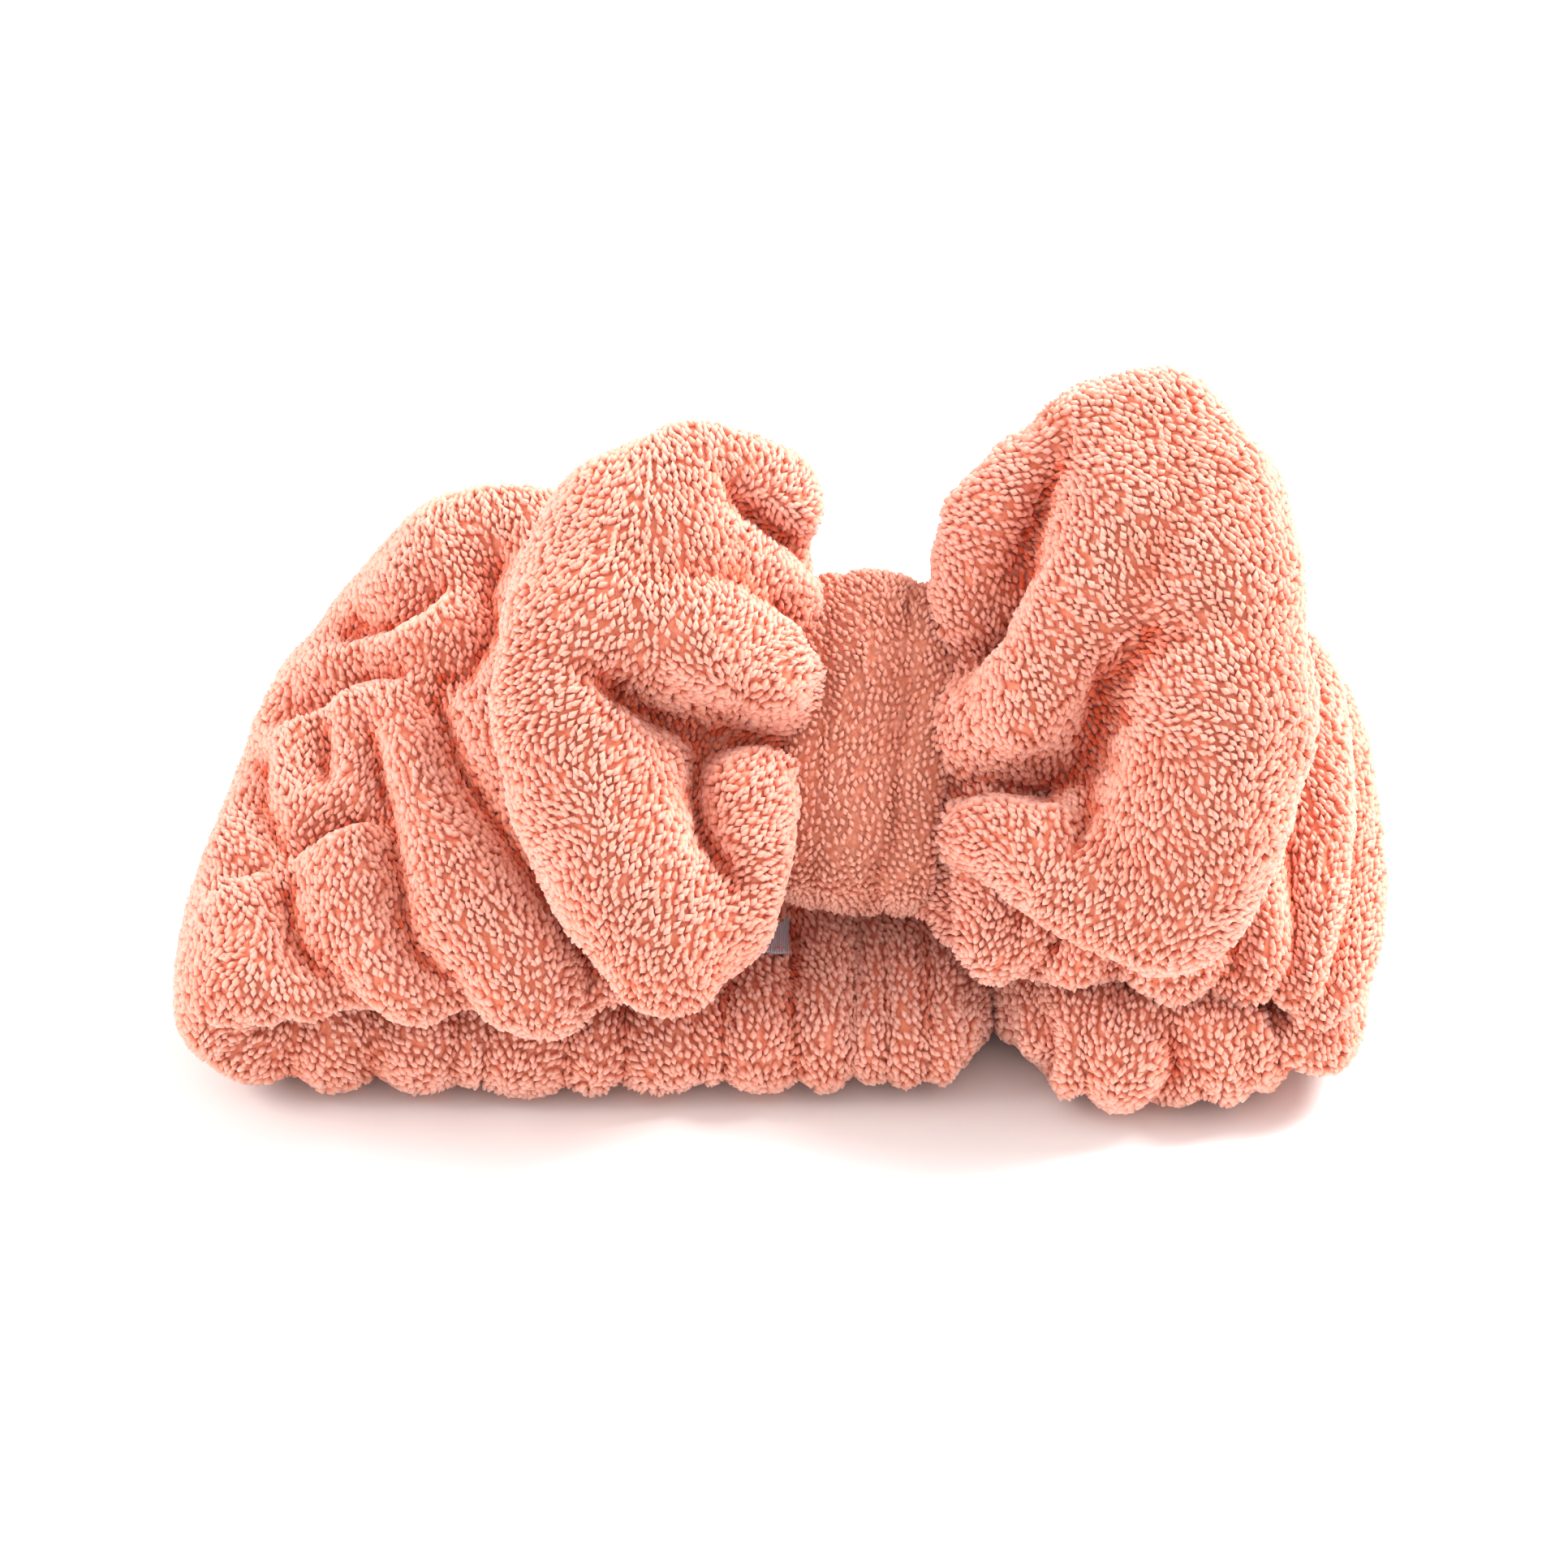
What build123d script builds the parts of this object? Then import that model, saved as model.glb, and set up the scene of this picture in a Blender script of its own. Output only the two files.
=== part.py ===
"""Plush spa headband: a shirred fleece tube on an elastic ring, with a padded bow tied on by a knot wrap.

The ring lies collapsed on its rear half, with the bow on the front half above it. Millimetres, +Z up,
X along the flattened ring, Y across the band from its front edge to its back edge.
"""
from build123d import *
from math import cos, radians, sin, tan
import os

# Ring and sleeve
ring_left = -110.0  # outer end of the left bend
ring_right = 113.0  # outer end of the right bend
bend_depth = 23.0  # length of each end bend along X
band_width = 86.0  # across the relaxed sleeve
rear_thickness = 20.0  # puffed thickness of the rear half, on the table
front_thickness = 21.0  # puffed thickness of the front half where it meets the bends
front_bulk_thickness = 19.0  # and halfway to the bow
head_gap = 6.0  # least height of the slot that a head opens
fleece_wall = 4.0  # fleece with its pile, on the bow
elastic_room = 0.9  # the gathers fill the sleeve up to this distance from the elastic
edge_softness = 0.42  # corner radius as a share of a section's thickness

# How the front half leans: its back edge stands higher than its front edge
bend_lean = 10.0  # degrees, where it meets the end bends
left_side_lean = 36.0  # degrees, halfway to the bow
right_side_lean = 30.0
bow_lean = 45.0  # degrees, at the knot
side_run = 29.0  # from a bend to the halfway section
side_width = 75.0
left_side_y = 41.0  # where the halfway section's centre lies across the band
right_side_y = 45.0

# Knot: a strip of fleece round the bow's waist and the sleeve
knot_x = 16.0
knot_y = 36.0
knot_width = 28.0  # along X
knot_length = 60.0  # along the band's width, outside
knot_depth = 27.0  # through bow and band, outside
wrap_thickness = 4.0
knot_corner = 9.0
pinch_run = 14.0  # the sleeve narrows over this length beside the knot
pinch_width = 56.0  # sleeve width where the narrowing starts
pinch_thickness = 14.0
fold_clearance = 0.3  # between layers that the knot holds

# Elastic inside the sleeve
elastic_width = 30.0
elastic_thickness = 1.5

# Bow: each lobe is a padded fleece cover, hinged where it leaves the knot
left_lobe = (54.0, -56.0, 54.0, 28.0, 32.0)  # reach, lowest, highest, centre height, thickness
right_lobe = (62.0, -51.0, 62.0, 32.0, 33.0)
lobe_neck_radius = 4.0
neck_clearance = 8.0  # from each end of the wrap's hole to a lobe's neck
waist_height = 5.0  # hinge line above the knot's centre
padding_clearance = 0.4

# Thread and label
thread = 0.6
stitch_length = 4.0
stitch_pitch = 6.5
thread_turns = 4
label_length = 12.0
label_width = 11.0
label_thickness = 0.5
label_x = -8.5
label_y = 14.5

# Worked out from the sizes above
left_junction = ring_left + bend_depth
right_junction = ring_right - bend_depth
middle_y = band_width / 2
slot_top = rear_thickness + head_gap
knot_left = knot_x - knot_width / 2
knot_right = knot_x + knot_width / 2
straight_half = knot_length / 2 - knot_corner
knot_drop = straight_half * sin(radians(bow_lean)) + (knot_depth / 2 - knot_corner) * cos(radians(bow_lean))
knot_z = slot_top + knot_corner + knot_drop + 1.0
hole_length = knot_length - 2 * wrap_thickness
hole_depth = knot_depth - 2 * wrap_thickness
layer_thickness = hole_depth / 2 - 2 * fold_clearance
held_width = hole_length - 2 * fold_clearance - 2.0
lobe_neck_length = hole_length - 2 * neck_clearance


def tilted(lean):
    """The direction across the band, and the one out of its face, at this lean."""
    across = Vector(0, cos(radians(lean)), sin(radians(lean)))
    outward = Vector(0, -sin(radians(lean)), cos(radians(lean)))
    return across, outward


def on_bow(x, across, outward):
    """A point in the bow's own directions, measured from the knot's centre."""
    w, n = tilted(bow_lean)
    return Vector(x, knot_y, knot_z) + w * across + n * outward


def rounded(width, thickness, share=edge_softness):
    """A soft-cornered face for a puffed section."""
    return RectangleRounded(width, thickness, share * min(width, thickness))


def section(centre, lean, width, thickness, shape=rounded):
    """One face of a loft: it stands across X, turned to the band's lean."""
    across, _ = tilted(lean)
    return Plane(origin=centre, x_dir=across, z_dir=(1, 0, 0)) * shape(width, thickness)


def front_centre(lean, width, thickness, lowest):
    """Height of a section's centre that puts its front lower corner at lowest."""
    return lowest + width / 2 * sin(radians(lean)) + thickness / 2 * cos(radians(lean))


def front_stations(junction, knot_side, toward, side_lean, side_y):
    """(centre, lean, width, thickness) from an end bend to the middle of the knot."""
    bend = (bend_lean, band_width - 2.0, front_thickness)
    side = (side_lean, side_width, front_bulk_thickness)
    held_centre = on_bow(0, 0, -fold_clearance - layer_thickness / 2)
    pinched = Vector(0, held_centre.Y, held_centre.Z)
    bend_z = front_centre(*bend, slot_top)
    side_z = front_centre(*side, slot_top)
    return [
        (Vector(junction, middle_y, bend_z), *bend),
        (Vector(junction + toward * side_run, side_y, side_z), *side),
        (pinched + Vector(knot_side - toward * pinch_run, 0, 0), bow_lean, pinch_width, pinch_thickness),
        (pinched + Vector(knot_side, 0, 0), bow_lean, held_width, layer_thickness),
        (pinched + Vector(knot_x, 0, 0), bow_lean, held_width, layer_thickness),
    ]


def rear_stations(start, end):
    middle = rear_thickness / 2
    return [(Vector(x, middle_y, middle), 0.0, band_width, rear_thickness) for x in (start, end)]


def span(stations):
    """A loft through the stations."""
    return loft([section(*station) for station in stations], ruled=True)


def sleeve_span(stations):
    """The fleece tube. Its gathers leave no more room inside than the elastic takes."""
    room = (elastic_width + 2 * elastic_room, elastic_thickness + 2 * elastic_room)
    return span(stations) - loft([section(c, a, *room, Rectangle) for c, a, _, _ in stations], ruled=True)


def elastic_span(stations):
    return loft(
        [section(c, a, elastic_width, elastic_thickness, Rectangle) for c, a, _, _ in stations], ruled=True
    )


def bend_section(junction, outward, y, inset, thickness):
    """The C-shaped face of an end bend at one y. inset counts in from the outside of the sleeve."""
    rise = (y - middle_y) * tan(radians(bend_lean))
    top = front_centre(bend_lean, band_width - 2.0, front_thickness, slot_top) + rise + front_thickness / 2
    low, high = inset, top - inset
    tip = junction + outward * (bend_depth - inset)
    inner_tip = tip - outward * thickness
    middle = top / 2
    with BuildSketch(Plane.XZ.offset(-y)) as sketch:
        with BuildLine():
            ThreePointArc((junction, low), (tip, middle), (junction, high))
            Line((junction, high), (junction, high - thickness))
            ThreePointArc((junction, high - thickness), (inner_tip, middle), (junction, low + thickness))
            Line((junction, low + thickness), (junction, low))
        make_face()
    return sketch.sketch


def bend_solid(junction, outward, inset, thickness, y_from, y_to):
    faces = [bend_section(junction, outward, y, inset, thickness) for y in (y_from, y_to)]
    return loft(faces, ruled=True)


def elastic_bend(junction, outward, room=0.0):
    thickness = elastic_thickness + 2 * room
    reach = elastic_width / 2 + room
    inset = (rear_thickness - thickness) / 2
    return bend_solid(junction, outward, inset, thickness, middle_y - reach, middle_y + reach)


def sleeve_bend(junction, outward):
    whole = bend_solid(junction, outward, 0.0, rear_thickness, 0.0, band_width)
    return whole - elastic_bend(junction, outward, elastic_room)


def lobe_section(x, low, high, centre, thickness):
    """One face of a lobe's loft, across the bow."""
    across, _ = tilted(bow_lean)
    plane = Plane(origin=on_bow(x, (low + high) / 2, centre), x_dir=across, z_dir=(1, 0, 0))
    return plane * rounded(high - low, thickness, 0.45)


def lobe(stations, trim=0.0):
    """A lobe's solid, taken in by trim across the bow and through its thickness."""
    sections = [
        lobe_section(x, low + trim, high - trim, centre, thickness - 2 * trim)
        for x, low, high, centre, thickness in stations
    ]
    return loft(sections, ruled=True)


def lobe_stations(knot_side, outward, reach, low, high, height, thickness):
    """(x, lowest, highest, centre and thickness) from the neck to the lobe's outer end."""
    neck = lobe_neck_length / 2
    return [
        (knot_side, -neck, neck, waist_height, lobe_neck_radius),
        (knot_side + outward * 0.3 * reach, 0.78 * low, 0.8 * high, 0.62 * height, 0.62 * thickness),
        (knot_side + outward * 0.57 * reach, low, high, 0.95 * height, thickness),
        (knot_side + outward * 0.83 * reach, 0.84 * low, 0.9 * high, 1.04 * height, 0.94 * thickness),
        (knot_side + outward * reach, 0.45 * low, 0.5 * high, height, 0.5 * thickness),
    ]


def lobe_neck(knot_side):
    """A round edge on the hinge line, so that a lobe turns without touching the waist."""
    direction, _ = tilted(bow_lean)
    plane = Plane(origin=on_bow(knot_side, 0, waist_height), z_dir=direction)
    return plane * Cylinder(lobe_neck_radius, lobe_neck_length + 2.0)


def lobe_inside(stations, outward, trim):
    """The stations past the neck, with both ends and all edges taken in by trim."""
    padded = stations[1:]
    first, last = padded[0], padded[-1]
    near = (first[0] + outward * trim, *first[1:])
    far = (last[0] - outward * trim, *last[1:])
    return lobe([near, *padded[1:-1], far], trim)


def lobe_parts(stations, knot_side, outward):
    """The fleece cover with its neck, and the wadding inside it."""
    outer = lobe(stations) + lobe_neck(knot_side)
    cover = outer - lobe_inside(stations, outward, fleece_wall)
    return cover, lobe_inside(stations, outward, fleece_wall + padding_clearance)


def knot_wrap():
    """A closed loop of folded fleece, round the waist and the sleeve."""
    direction, _ = tilted(bow_lean)
    plane = Plane(origin=on_bow(knot_left, 0, 0), x_dir=direction, z_dir=(1, 0, 0))
    outer = RectangleRounded(knot_length, knot_depth, knot_corner)
    loop = outer - RectangleRounded(hole_length, hole_depth, knot_corner - wrap_thickness)
    return extrude(plane * loop, knot_width)


def waist_profile(trim):
    """The bow's pinched middle, beside the sleeve under the wrap."""
    direction, _ = tilted(bow_lean)
    centre = on_bow(0, 0, fold_clearance + layer_thickness / 2)
    size = (lobe_neck_length - 2 * trim, layer_thickness - 2 * trim)
    return lambda x: Plane(
        origin=centre + Vector(x, 0, 0), x_dir=direction, z_dir=(1, 0, 0)
    ) * RectangleRounded(*size, 0.3 * size[1])


def waist_span():
    """Where the waist starts and ends, clear of both lobe necks."""
    inset = lobe_neck_radius + 2 * fold_clearance
    return knot_left + inset, knot_right - inset


def thread_places():
    start, end = waist_span()
    pitch = 2 * thread
    first = (start + end) / 2 - pitch * (thread_turns - 1) / 2 - thread / 2
    return [first + turn * pitch for turn in range(thread_turns)]


def bow_waist():
    start, end = waist_span()
    waist = extrude(waist_profile(0.0)(start), end - start)
    for x in thread_places():
        groove = waist_profile(-1.0)(x)
        waist -= extrude(groove - waist_profile(thread)(x), thread)
    return waist


def waist_thread():
    """The gathering thread: turns laid in the waist's grooves."""
    return Compound(
        children=[extrude(waist_profile(0.0)(x) - waist_profile(thread)(x), thread) for x in thread_places()]
    )


def stitch_row(plane, length, pitch=stitch_pitch, along=stitch_length):
    """Stitches in a line along the plane's X, standing on the plane."""
    count = max(2, int(length // pitch))
    rest = Align.CENTER, Align.CENTER, Align.MIN
    stitches = [
        plane * Pos((i - (count - 1) / 2) * pitch, 0, 0) * Box(along, thread, thread, align=rest)
        for i in range(count)
    ]
    return Compound(children=stitches)


def knot_stitches():
    """The wrap's closing seam, on the inside of the ring."""
    direction, normal = tilted(bow_lean)
    plane = Plane(origin=on_bow(knot_x, 0, -knot_depth / 2), x_dir=direction, z_dir=normal * -1)
    return stitch_row(plane, 2 * straight_half)


def sleeve_end_stitches():
    """Where the tube's two ends are sewn together, hidden under the bow's waist."""
    direction, normal = tilted(bow_lean)
    plane = Plane(origin=on_bow(knot_x, 0, -fold_clearance), x_dir=direction, z_dir=normal)
    return stitch_row(plane, held_width - 8.0, along=stitch_length / 2)


def elastic_lap_stitches():
    """Two rows across the elastic's joined ends, in the rear half."""
    height = (rear_thickness + elastic_thickness) / 2
    rows = []
    for x in (-28.0, -20.0):
        plane = Plane(origin=(x, middle_y, height), x_dir=(0, 1, 0), z_dir=(0, 0, 1))
        rows += list(stitch_row(plane, elastic_width - 2.0, pitch=4.5, along=3.0).children)
    return Compound(children=rows)


def care_label():
    corner = Align.MIN, Align.MIN, Align.MIN
    size = label_width, label_length, label_thickness
    return Pos(label_x, label_y, rear_thickness) * Box(*size, align=corner)


def label_stitches():
    top = rear_thickness + label_thickness
    rows = []
    for y in (label_y + 2.0, label_y + label_length - 2.0):
        plane = Plane(origin=(label_x + label_width / 2, y, top))
        rows += list(stitch_row(plane, label_width - 1.0, pitch=4.0, along=2.5).children)
    return Compound(children=rows)


def end_seam(stations, outward):
    """Stitches of the seam that closes a lobe, on its outer end."""
    x, low, high, centre, thickness = stations[-1]
    direction, _ = tilted(bow_lean)
    plane = Plane(origin=on_bow(x, (low + high) / 2, centre), x_dir=direction, z_dir=(outward, 0, 0))
    return stitch_row(plane, high - low - thickness)


def build():
    front_left = front_stations(left_junction, knot_left, 1, left_side_lean, left_side_y)
    front_right = front_stations(right_junction, knot_right, -1, right_side_lean, right_side_y)
    rear_left = rear_stations(left_junction, knot_x)
    rear_right = rear_stations(knot_x, right_junction)
    spans = {
        "front_left": front_left,
        "front_right": front_right,
        "rear_left": rear_left,
        "rear_right": rear_right,
    }
    nodes = {f"sleeve_{name}": sleeve_span(stations) for name, stations in spans.items()}
    nodes |= {f"elastic_{name}": elastic_span(stations) for name, stations in spans.items()}
    for side, junction, outward in (("left", left_junction, -1), ("right", right_junction, 1)):
        nodes[f"sleeve_{side}_bend"] = sleeve_bend(junction, outward)
        nodes[f"elastic_{side}_bend"] = elastic_bend(junction, outward)
    lobes = {
        "left": (knot_left, -1, lobe_stations(knot_left, -1, *left_lobe)),
        "right": (knot_right, 1, lobe_stations(knot_right, 1, *right_lobe)),
    }
    for side, (edge, outward, stations) in lobes.items():
        cover, wadding = lobe_parts(stations, edge, outward)
        nodes[f"{side}_lobe_cover"] = cover
        nodes[f"{side}_lobe_wadding"] = wadding
        nodes[f"{side}_lobe_stitches"] = end_seam(stations, outward)
    nodes |= {
        "knot_wrap": knot_wrap(),
        "bow_waist": bow_waist(),
        "waist_thread": waist_thread(),
        "knot_stitches": knot_stitches(),
        "sleeve_end_stitches": sleeve_end_stitches(),
        "elastic_lap_stitches": elastic_lap_stitches(),
        "care_label": care_label(),
        "label_stitches": label_stitches(),
    }
    return nodes


def to_base(nodes):
    """The move that puts the whole part's bottom centre on the origin."""
    boxes = [shape.bounding_box() for shape in nodes.values()]
    middle = [
        (min(getattr(b.min, a) for b in boxes) + max(getattr(b.max, a) for b in boxes)) / 2 for a in "XY"
    ]
    return Vector(-middle[0], -middle[1], -min(b.min.Z for b in boxes))


def main():
    nodes = build()
    shift = to_base(nodes)
    os.makedirs("parts", exist_ok=True)
    for name, shape in nodes.items():
        export_step(Pos(*shift) * shape, f"parts/{name}.step")
    print("moved by", shift)
    print("knot centre", on_bow(knot_x, 0, 0) + shift)
    for name, x in (("left", knot_left), ("right", knot_right)):
        print(name, "lobe hinge", on_bow(x, 0, waist_height) + shift)


main()
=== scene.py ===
"""Looks for the plush spa headband: a gathered fleece sleeve, a padded bow, its knot wrap, seams and label.

Sizes are in millimetres until a mesh is made. The bow has directions of its own: X along the ring, W up the
bow, N out of its face, all from the knot's centre.
"""

from math import cos, pi, radians, sin

import bmesh
import bpy
import numpy as np
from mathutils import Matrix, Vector


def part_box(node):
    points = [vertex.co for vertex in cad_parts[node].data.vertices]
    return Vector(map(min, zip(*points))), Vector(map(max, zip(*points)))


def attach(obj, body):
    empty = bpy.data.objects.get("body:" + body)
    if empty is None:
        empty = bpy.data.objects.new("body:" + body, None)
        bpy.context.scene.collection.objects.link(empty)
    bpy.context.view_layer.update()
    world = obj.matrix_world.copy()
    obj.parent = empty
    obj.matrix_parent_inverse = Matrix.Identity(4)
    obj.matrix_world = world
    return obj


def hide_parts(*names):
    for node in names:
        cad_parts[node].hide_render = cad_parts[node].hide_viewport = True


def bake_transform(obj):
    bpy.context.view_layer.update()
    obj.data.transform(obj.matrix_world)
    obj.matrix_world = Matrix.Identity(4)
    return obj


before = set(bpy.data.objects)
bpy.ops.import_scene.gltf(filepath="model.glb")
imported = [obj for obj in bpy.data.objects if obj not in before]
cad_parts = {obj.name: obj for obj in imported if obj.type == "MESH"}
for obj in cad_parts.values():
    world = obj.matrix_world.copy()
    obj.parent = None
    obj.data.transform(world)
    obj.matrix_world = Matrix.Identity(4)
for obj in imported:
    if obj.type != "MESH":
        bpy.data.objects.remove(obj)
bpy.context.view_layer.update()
rng = np.random.default_rng(11)

# Sizes, in millimetres
BOW_LEAN = radians(45)
KNOT = np.array([14.5, 6.9, 54.4])
KNOT_LEAN = radians(-5)  # the wrap sits a little askew
KNOT_REACH = 26.5  # half the loop's length across the band
KNOT_DEPTH = 12.0  # half the loop's depth through bow and band
KNOT_HALF = 13.6  # half its width along the ring
WRAP_THICKNESS = 2.6  # half the folded strip's thickness
LOOP_SQUARENESS, STRIP_SQUARENESS = 3.4, 3.0
WALL = 3.0  # fleece, without its pile
STITCH_PITCH = 5.0
STITCH_SIDES = 6
FLOOR_GAP = 0.1
VOXEL = 1.7
CLEAR = 1.7  # how far a lobe's rolls are taken in to leave room for pile
TUFT_SPACING = 0.92
TUFT_HEIGHT = 1.8
TUFT_WIDTH = 1.22
PILE_LEAN = 0.85  # how far a tuft leans, against its own length
PILE_PIECES = 3  # each half's pile is cut so often, to keep its pieces light
ELASTIC = (30.0, 1.5)  # width and thickness
ACROSS = np.array([0.0, cos(BOW_LEAN), sin(BOW_LEAN)])
OUTWARD = np.array([0.0, -sin(BOW_LEAN), cos(BOW_LEAN)])
BOW_AXES = np.array([[1.0, 0.0, 0.0], ACROSS, OUTWARD])


def from_bow(points):
    """Points in the bow's directions, as points in the frame."""
    return KNOT + np.asarray(points, float) @ BOW_AXES


def to_bow(points):
    """Points in the frame, as points in the bow's directions."""
    return (np.asarray(points, float) - KNOT) @ BOW_AXES.T


# ---------------------------------------------------------------- meshes
def in_scene(name, data):
    """A new object that holds this mesh, light or camera."""
    obj = bpy.data.objects.new(name, data)
    bpy.context.scene.collection.objects.link(obj)
    return obj


def mesh_object(name, vertices, faces, smooth=True):
    """A new object from points in millimetres."""
    mesh = bpy.data.meshes.new(name)
    mesh.from_pydata((np.asarray(vertices) * 0.001).tolist(), [], [list(map(int, f)) for f in faces])
    mesh.validate()
    mesh.polygons.foreach_set("use_smooth", [smooth] * len(mesh.polygons))
    return in_scene(name, mesh)


def points_of(obj):
    """A mesh's points, in millimetres."""
    flat = np.empty(3 * len(obj.data.vertices))
    obj.data.vertices.foreach_get("co", flat)
    return flat.reshape(-1, 3) * 1000


def set_points(obj, points):
    """Moves a mesh's points to these places, in millimetres."""
    obj.data.vertices.foreach_set("co", (points * 0.001).ravel())
    obj.data.update()


def normals_of(obj):
    """The direction out of the surface at each of a mesh's points."""
    flat = np.empty(3 * len(obj.data.vertices))
    obj.data.vertex_normals.foreach_get("vector", flat)
    return flat.reshape(-1, 3)


def edges_of(obj):
    """The two ends of each of a mesh's edges, as numbers of points."""
    flat = np.empty(2 * len(obj.data.edges), int)
    obj.data.edges.foreach_get("vertices", flat)
    return flat.reshape(-1, 2)


def store(obj, name, values):
    """A named value at each of a mesh's points."""
    kind = "FLOAT_VECTOR" if np.ndim(values) == 2 else "FLOAT"
    attribute = obj.data.attributes.new(name, kind, "POINT")
    key = "vector" if kind == "FLOAT_VECTOR" else "value"
    attribute.data.foreach_set(key, np.asarray(values, np.float32).ravel())


def relax(obj, rounds, strength=0.5):
    """Evens out a mesh by moving each point towards the middle of its neighbours."""
    points = points_of(obj)
    a, b = edges_of(obj).T
    count = np.bincount(np.r_[a, b], minlength=len(points))[:, None]
    for _ in range(rounds):
        total = np.zeros_like(points)
        np.add.at(total, a, points[b])
        np.add.at(total, b, points[a])
        points += strength * (total / np.maximum(count, 1) - points)
    set_points(obj, points)


# ---------------------------------------------------------------- curves and smooth random values
def pairs_of(a, b):
    """Every pair of a value from a and a value from b, as two long rows."""
    return (grid.ravel() for grid in np.meshgrid(a, b, indexing="ij"))


def squared(wave, squareness):
    """A sine or cosine bent so that the oval it draws is squarer. 2 leaves it round."""
    return np.sign(wave) * np.abs(wave) ** (2 / squareness)


def lattice_noise(points, scale, seed):
    """Smooth values from -1 to 1 at these points, changing over about scale millimetres."""
    table = np.random.default_rng(seed).uniform(-1, 1, (32, 32, 32))
    p = np.asarray(points, float) / scale + 100.0
    cell = np.floor(p).astype(int)
    t = p - cell
    t = t * t * (3 - 2 * t)
    total = np.zeros(len(p))
    for corner in np.ndindex(2, 2, 2):
        weight = np.prod(np.where(corner, t, 1 - t), axis=1)
        total += weight * table[tuple(((cell + corner) % 32).T)]
    return total


# ---------------------------------------------------------------- solids from distances
def smooth_min(a, b, k):
    """The smaller of two distances, rounded over k where they meet."""
    h = np.maximum(k - np.abs(a - b), 0) / k
    return np.minimum(a, b) - h * h * k / 4


def chain_distance(points, chain):
    """Distance to a run of round-ended rods. chain holds (x, w, n, radius) for each bend."""
    chain = np.asarray(chain, float)
    best = np.full(len(points), np.inf)
    for start, end in zip(chain[:-1], chain[1:]):
        along = end[:3] - start[:3]
        t = np.clip((points - start[:3]) @ along / (along @ along), 0, 1)
        gap = np.linalg.norm(points - start[:3] - t[:, None] * along, axis=1)
        best = np.minimum(best, gap - (start[3] + t * (end[3] - start[3])))
    return best


def cut_distance(points, path):
    """Distance to a narrow wedge that follows a crease. path holds (x, w, bottom, half width)."""
    path = np.asarray(path, float)
    best = np.full(len(points), np.inf)
    for start, end in zip(path[:-1], path[1:]):
        along = end[:2] - start[:2]
        t = np.clip((points[:, :2] - start[:2]) @ along / (along @ along), 0, 1)
        gap = np.linalg.norm(points[:, :2] - start[:2] - t[:, None] * along, axis=1)
        bottom = start[2] + t * (end[2] - start[2])
        half = start[3] + t * (end[3] - start[3])
        depth = points[:, 2] - bottom
        best = np.minimum(best, np.maximum(gap - half * np.clip(depth / 10, 0.0, 1.4), 2.5 - depth))
    return best


def surface_of(field, origin, step):
    """Points and four-sided faces where field changes sign, by surface nets."""
    inside = field < 0
    cells = tuple(n - 1 for n in field.shape)
    total, count = np.zeros((*cells, 3)), np.zeros(cells)
    corners = [np.array(c) for c in np.ndindex(2, 2, 2)]
    for a in corners:
        for axis in range(3):
            if a[axis]:
                continue
            b = a.copy()
            b[axis] = 1
            cut_a = tuple(slice(c, c + n) for c, n in zip(a, cells))
            cut_b = tuple(slice(c, c + n) for c, n in zip(b, cells))
            crosses = inside[cut_a] != inside[cut_b]
            gap = np.where(crosses, field[cut_a] - field[cut_b], 1.0)
            t = np.where(crosses, field[cut_a] / gap, 0.0)
            total += crosses[..., None] * (a + t[..., None] * (b - a))
            count += crosses
    used = count > 0
    index = np.full(cells, -1)
    index[used] = np.arange(used.sum())
    vertices = origin + step * (np.argwhere(used) + total[used] / count[used][:, None])
    faces = []
    for axis in range(3):
        side, ids = np.moveaxis(inside, axis, 0), np.moveaxis(index, axis, 0)
        low, high = side[:-1, 1:-1, 1:-1], side[1:, 1:-1, 1:-1]
        ring = [ids[:, :-1, :-1], ids[:, 1:, :-1], ids[:, 1:, 1:], ids[:, :-1, 1:]]
        forward = (low & ~high) if axis != 1 else (~low & high)
        back = (~low & high) if axis != 1 else (low & ~high)
        faces.append(np.stack([r[forward] for r in ring], axis=1))
        faces.append(np.stack([r[back] for r in ring[::-1]], axis=1))
    return vertices, np.concatenate(faces)


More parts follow.
